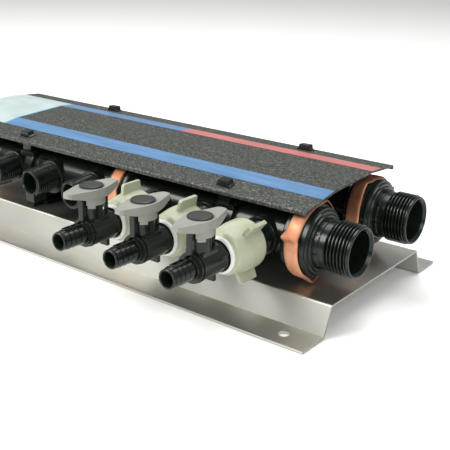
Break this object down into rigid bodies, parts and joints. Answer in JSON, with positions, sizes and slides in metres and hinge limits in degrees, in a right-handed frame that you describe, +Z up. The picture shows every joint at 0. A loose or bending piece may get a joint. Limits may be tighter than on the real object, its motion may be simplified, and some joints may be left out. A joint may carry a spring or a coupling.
{
  "type": "water distribution manifold",
  "caption": "Twin-run water distribution manifold on a folded bracket, with threaded ports, quarter-turn barbed valves and a folded cover.",
  "frame": {"origin": "centre of the four mounting holes, in the plane of the underside of the bracket's flanges", "axes": "+X along the pipe runs towards the two large inlets, -Y towards the valve outlets, +Z up from the bracket to the cover"},
  "size_m": [0.4122, 0.2248, 0.0816],
  "materials": {
    "steel": "folded stainless sheet, satin",
    "cover": "fine textured coating",
    "stripe_cold": "smooth film",
    "stripe_hot": "smooth film",
    "label": "smooth film with a plain border",
    "black_plastic": "moulded, semi-gloss",
    "dark_plastic": "moulded, matte",
    "copper": "bare copper sheet",
    "nut_ivory": "moulded, satin",
    "handle_grey": "moulded, satin",
    "cap_grey": "moulded, matte",
    "screw_steel": "plated",
    "rubber": "moulded",
    "seat_white": "turned fluoropolymer",
    "ball_chrome": "polished",
    "stem_brass": "turned"
  },
  "bodies": {
    "root": {"base_bracket": "steel", "cover_sheet": "cover", "stripe_front_cold": "stripe_cold", "stripe_back_cold": "stripe_cold", "stripe_back_hot": "stripe_hot", "label_film": "label", "saddle_right": "black_plastic", "saddle_left": "black_plastic", "saddle_clamp_right": "black_plastic", "saddle_clamp_left": "black_plastic", "saddle_screws": "screw_steel", "trunk_front_right": "black_plastic", "trunk_front_left": "black_plastic", "trunk_back_right": "black_plastic", "trunk_back_left": "black_plastic", "inlet_adapter_front": "black_plastic", "inlet_adapter_back": "black_plastic", "return_bend": "black_plastic", "joint_seals": "rubber", "divider_plug": "dark_plastic", "crimp_band_front_1": "copper", "crimp_band_back_1": "copper", "crimp_band_front_2": "copper", "crimp_band_back_2": "copper", "crimp_band_front_3": "copper", "crimp_band_back_3": "copper", "valve_1_body": "black_plastic", "valve_1_nut": "nut_ivory", "valve_1_washer": "rubber", "valve_1_seat_outlet": "seat_white", "valve_1_seat_inlet": "seat_white", "valve_1_retainer": "dark_plastic", "valve_2_body": "black_plastic", "valve_2_nut": "nut_ivory", "valve_2_washer": "rubber", "valve_2_seat_outlet": "seat_white", "valve_2_seat_inlet": "seat_white", "valve_2_retainer": "dark_plastic", "valve_3_body": "black_plastic", "valve_3_nut": "nut_ivory", "valve_3_washer": "rubber", "valve_3_seat_outlet": "seat_white", "valve_3_seat_inlet": "seat_white", "valve_3_retainer": "dark_plastic"},
    "handle_1": {"valve_1_ball": "ball_chrome", "valve_1_stem": "stem_brass", "valve_1_stem_seal": "rubber", "valve_1_handle": "handle_grey", "valve_1_cap": "cap_grey"},
    "handle_2": {"valve_2_ball": "ball_chrome", "valve_2_stem": "stem_brass", "valve_2_stem_seal": "rubber", "valve_2_handle": "handle_grey", "valve_2_cap": "cap_grey"},
    "handle_3": {"valve_3_ball": "ball_chrome", "valve_3_stem": "stem_brass", "valve_3_stem_seal": "rubber", "valve_3_handle": "handle_grey", "valve_3_cap": "cap_grey"}
  },
  "joints": [
    {"name": "handle_1_turn", "type": "hinge", "parent": "root", "child": "handle_1", "pos_m": [0.06, -0.1096, 0.0719], "axis": [0, 0, 1], "range_deg": [0, 90]},
    {"name": "handle_2_turn", "type": "hinge", "parent": "root", "child": "handle_2", "pos_m": [0.10325, -0.1096, 0.0719], "axis": [0, 0, 1], "range_deg": [0, 90]},
    {"name": "handle_3_turn", "type": "hinge", "parent": "root", "child": "handle_3", "pos_m": [0.1465, -0.1096, 0.0719], "axis": [0, 0, 1], "range_deg": [0, 90]}
  ]
}
